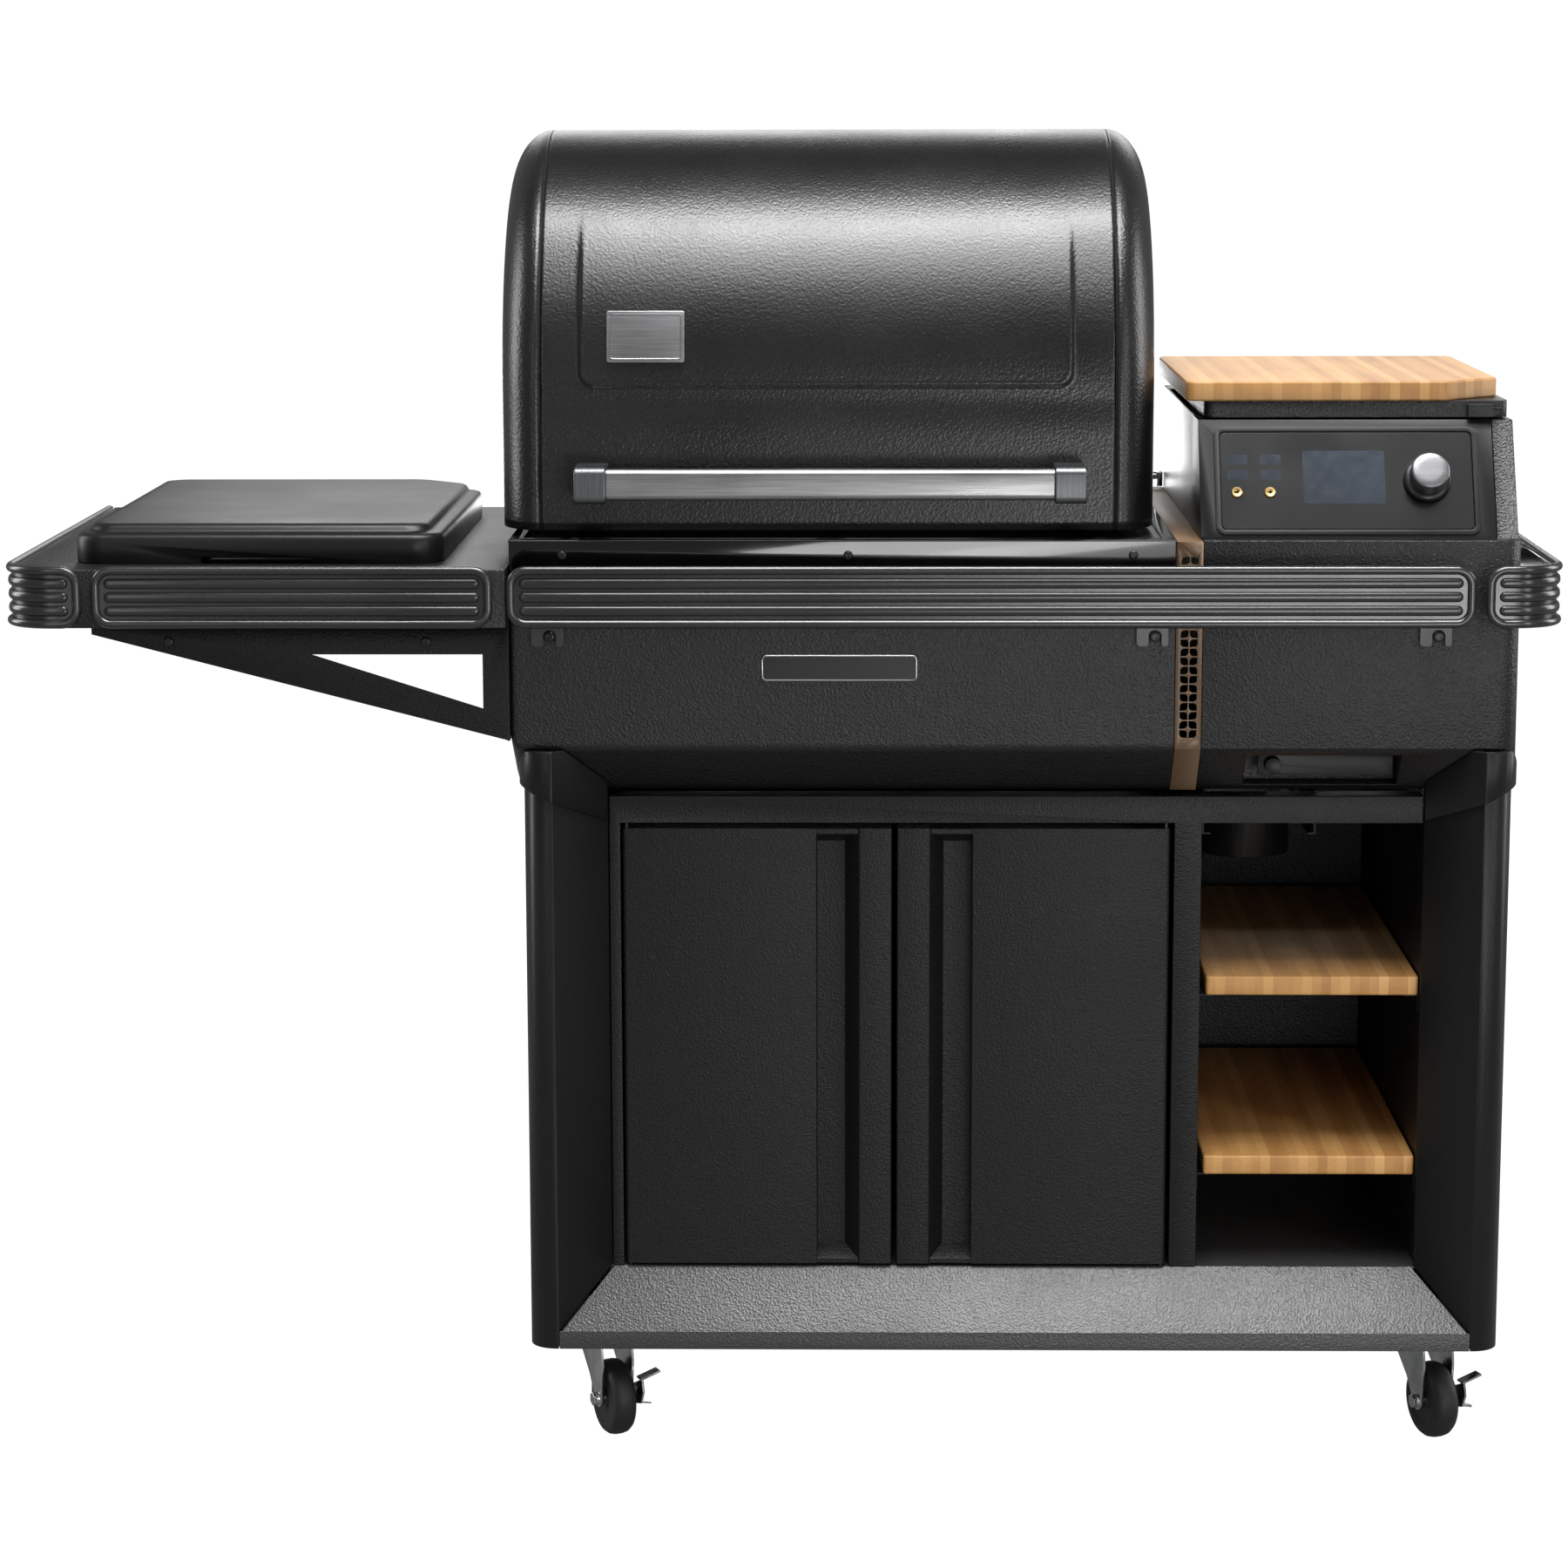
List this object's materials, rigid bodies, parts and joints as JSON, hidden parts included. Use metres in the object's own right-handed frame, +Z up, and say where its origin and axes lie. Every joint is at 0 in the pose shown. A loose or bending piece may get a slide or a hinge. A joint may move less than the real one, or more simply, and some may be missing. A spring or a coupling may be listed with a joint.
{
  "type": "pellet smoker grill",
  "caption": "Barrel-lidded pellet smoker on a cabinet cart with casters, a pellet hopper with a bamboo top, a covered side cooktop and an accessory rail.",
  "frame": {"origin": "floor level under the centre of the overall bounding box", "axes": "+X to the right seen from the front, +Y to the back, +Z up"},
  "size_m": [1.499, 0.635, 1.295],
  "materials": {
    "cart_paint": "fine pebbled satin powder coat",
    "door_paint": "fine pebbled satin powder coat",
    "smooth_paint": "smooth satin",
    "body_paint": "pebbled satin powder coat",
    "lid_enamel": "hammered semi-gloss enamel",
    "enamel": "gloss porcelain enamel",
    "rail_paint": "satin dark grey metallic",
    "bracket_grey": "satin grey",
    "inner_steel": "dull heat-darkened steel",
    "grate_steel": "satin porcelain-coated rod",
    "brushed_trim": "brushed stainless",
    "zinc": "bright zinc plate",
    "bronze": "metallic bronze paint",
    "bamboo": "oiled strip bamboo",
    "panel_glass": "black touch glass",
    "cooktop_glass": "black ceramic glass",
    "knob_metal": "spun aluminium",
    "jack_brass": "satin",
    "caster_rubber": "satin rubber",
    "motor_black": "matt",
    "screw_black": "black oxide"
  },
  "bodies": {
    "grill": {"base_frame": "cart_paint", "left_side_panel": "cart_paint", "right_side_panel": "cart_paint", "leg_caps": "smooth_paint", "cabinet_shell": "cart_paint", "face_frame": "cart_paint", "bay_shelves": "bamboo", "inner_brackets": "zinc", "caster_plates": "zinc", "firebox_shell": "body_paint", "firebox_liner": "inner_steel", "firebox_rim": "enamel", "firepot": "inner_steel", "heat_baffle": "inner_steel", "drip_tray": "inner_steel", "cooking_grates": "grate_steel", "exhaust_duct": "body_paint", "hinge_hardware": "zinc", "hopper_shell": "body_paint", "hopper_bin": "inner_steel", "control_housing": "smooth_paint", "control_glass": "panel_glass", "probe_jacks": "jack_brass", "auger_tube": "inner_steel", "drive_motors": "motor_black", "fan_housing": "motor_black", "vent_band": "bronze", "side_shelf": "body_paint", "shelf_brackets": "cart_paint", "cooktop": "cooktop_glass", "front_rails": "rail_paint", "corner_rails": "rail_paint", "fasteners": "screw_black"},
    "lid": {"lid_shell": "lid_enamel", "lid_ends": "lid_enamel", "lid_liner": "inner_steel", "handle_bar": "brushed_trim", "handle_brackets": "bracket_grey", "badge_plate": "brushed_trim"},
    "left_door_body": {"left_door": "door_paint"},
    "right_door_body": {"right_door": "door_paint"},
    "hopper_lid_body": {"hopper_lid": "body_paint", "bamboo_board": "bamboo"},
    "cover": {"cooktop_cover": "body_paint"},
    "knob_plunger": {"knob_shaft": "zinc"},
    "knob_body": {"knob": "knob_metal"},
    "keg": {"grease_keg": "brushed_trim"},
    "gate": {"cleanout_gate": "zinc"},
    "auger_body": {"auger": "inner_steel"},
    "fan": {"fan_impeller": "motor_black"},
    "fork_fl": {"caster_fork_fl": "zinc"},
    "wheel_fl": {"caster_wheel_fl": "caster_rubber"},
    "fork_fr": {"caster_fork_fr": "zinc"},
    "wheel_fr": {"caster_wheel_fr": "caster_rubber"},
    "fork_rl": {"caster_fork_rl": "zinc"},
    "wheel_rl": {"caster_wheel_rl": "caster_rubber"},
    "fork_rr": {"caster_fork_rr": "zinc"},
    "wheel_rr": {"caster_wheel_rr": "caster_rubber"},
    "pedal_fl": {"brake_pedal_left": "zinc"},
    "pedal_fr": {"brake_pedal_right": "zinc"}
  },
  "joints": [
    {"name": "lid_hinge", "type": "hinge", "parent": "grill", "child": "lid", "pos_m": [0.03, 0.254, 0.92], "axis": [-1, 0, 0], "range_deg": [0, 78]},
    {"name": "left_door_hinge", "type": "hinge", "parent": "grill", "child": "left_door_body", "pos_m": [-0.154, -0.234, 0.4], "axis": [0, 0, -1], "range_deg": [0, 110]},
    {"name": "right_door_hinge", "type": "hinge", "parent": "grill", "child": "right_door_body", "pos_m": [0.376, -0.234, 0.4], "axis": [0, 0, 1], "range_deg": [0, 110]},
    {"name": "hopper_lid_hinge", "type": "hinge", "parent": "grill", "child": "hopper_lid_body", "pos_m": [0.557, 0.214, 1.026], "axis": [-1, 0, 0], "range_deg": [0, 75]},
    {"name": "cover_lift", "type": "slide", "parent": "grill", "child": "cover", "axis": [0, 0, 1], "range_m": [0, 0.2]},
    {"name": "knob_press", "type": "slide", "parent": "grill", "child": "knob_plunger", "axis": [0, 0.8862, -0.4633], "range_m": [0, 0.001], "stiffness_N_per_m": 1200, "springref_m": -0.001},
    {"name": "knob_turn", "type": "hinge", "parent": "knob_plunger", "child": "knob_body", "pos_m": [0.6225, -0.24506, 0.96581], "axis": [0, -0.8862, 0.4633], "continuous": true},
    {"name": "keg_slide", "type": "slide", "parent": "grill", "child": "keg", "axis": [0, -1, 0], "range_m": [0, 0.2]},
    {"name": "gate_slide", "type": "slide", "parent": "grill", "child": "gate", "axis": [0, -1, 0], "range_m": [0, 0.07]},
    {"name": "auger_turn", "type": "hinge", "parent": "grill", "child": "auger_body", "pos_m": [0.35, 0, 0.712], "axis": [1, 0, 0], "continuous": true},
    {"name": "fan_spin", "type": "hinge", "parent": "grill", "child": "fan", "pos_m": [0.44, 0.185, 0.735], "axis": [1, 0, 0], "continuous": true},
    {"name": "swivel_fl", "type": "hinge", "parent": "grill", "child": "fork_fl", "pos_m": [-0.1805, -0.217, 0.09], "axis": [0, 0, 1], "continuous": true},
    {"name": "roll_fl", "type": "hinge", "parent": "fork_fl", "child": "wheel_fl", "pos_m": [-0.17205, -0.23513, 0.038], "axis": [0.9063, 0.4226, 0], "continuous": true},
    {"name": "brake_fl", "type": "hinge", "parent": "fork_fl", "child": "pedal_fl", "pos_m": [-0.17205, -0.23513, 0.038], "axis": [0.9063, 0.4226, 0], "range_deg": [0, 25]},
    {"name": "swivel_fr", "type": "hinge", "parent": "grill", "child": "fork_fr", "pos_m": [0.643, -0.217, 0.09], "axis": [0, 0, 1], "continuous": true},
    {"name": "roll_fr", "type": "hinge", "parent": "fork_fr", "child": "wheel_fr", "pos_m": [0.65017, -0.23567, 0.038], "axis": [0.9336, 0.3584, 0], "continuous": true},
    {"name": "brake_fr", "type": "hinge", "parent": "fork_fr", "child": "pedal_fr", "pos_m": [0.65017, -0.23567, 0.038], "axis": [0.9336, 0.3584, 0], "range_deg": [0, 25]},
    {"name": "swivel_rl", "type": "hinge", "parent": "grill", "child": "fork_rl", "pos_m": [-0.1805, 0.212, 0.09], "axis": [0, 0, 1], "continuous": true},
    {"name": "roll_rl", "type": "hinge", "parent": "fork_rl", "child": "wheel_rl", "pos_m": [-0.17205, 0.19387, 0.038], "axis": [0.9063, 0.4226, 0], "continuous": true},
    {"name": "swivel_rr", "type": "hinge", "parent": "grill", "child": "fork_rr", "pos_m": [0.643, 0.212, 0.09], "axis": [0, 0, 1], "continuous": true},
    {"name": "roll_rr", "type": "hinge", "parent": "fork_rr", "child": "wheel_rr", "pos_m": [0.65017, 0.19333, 0.038], "axis": [0.9336, 0.3584, 0], "continuous": true}
  ]
}
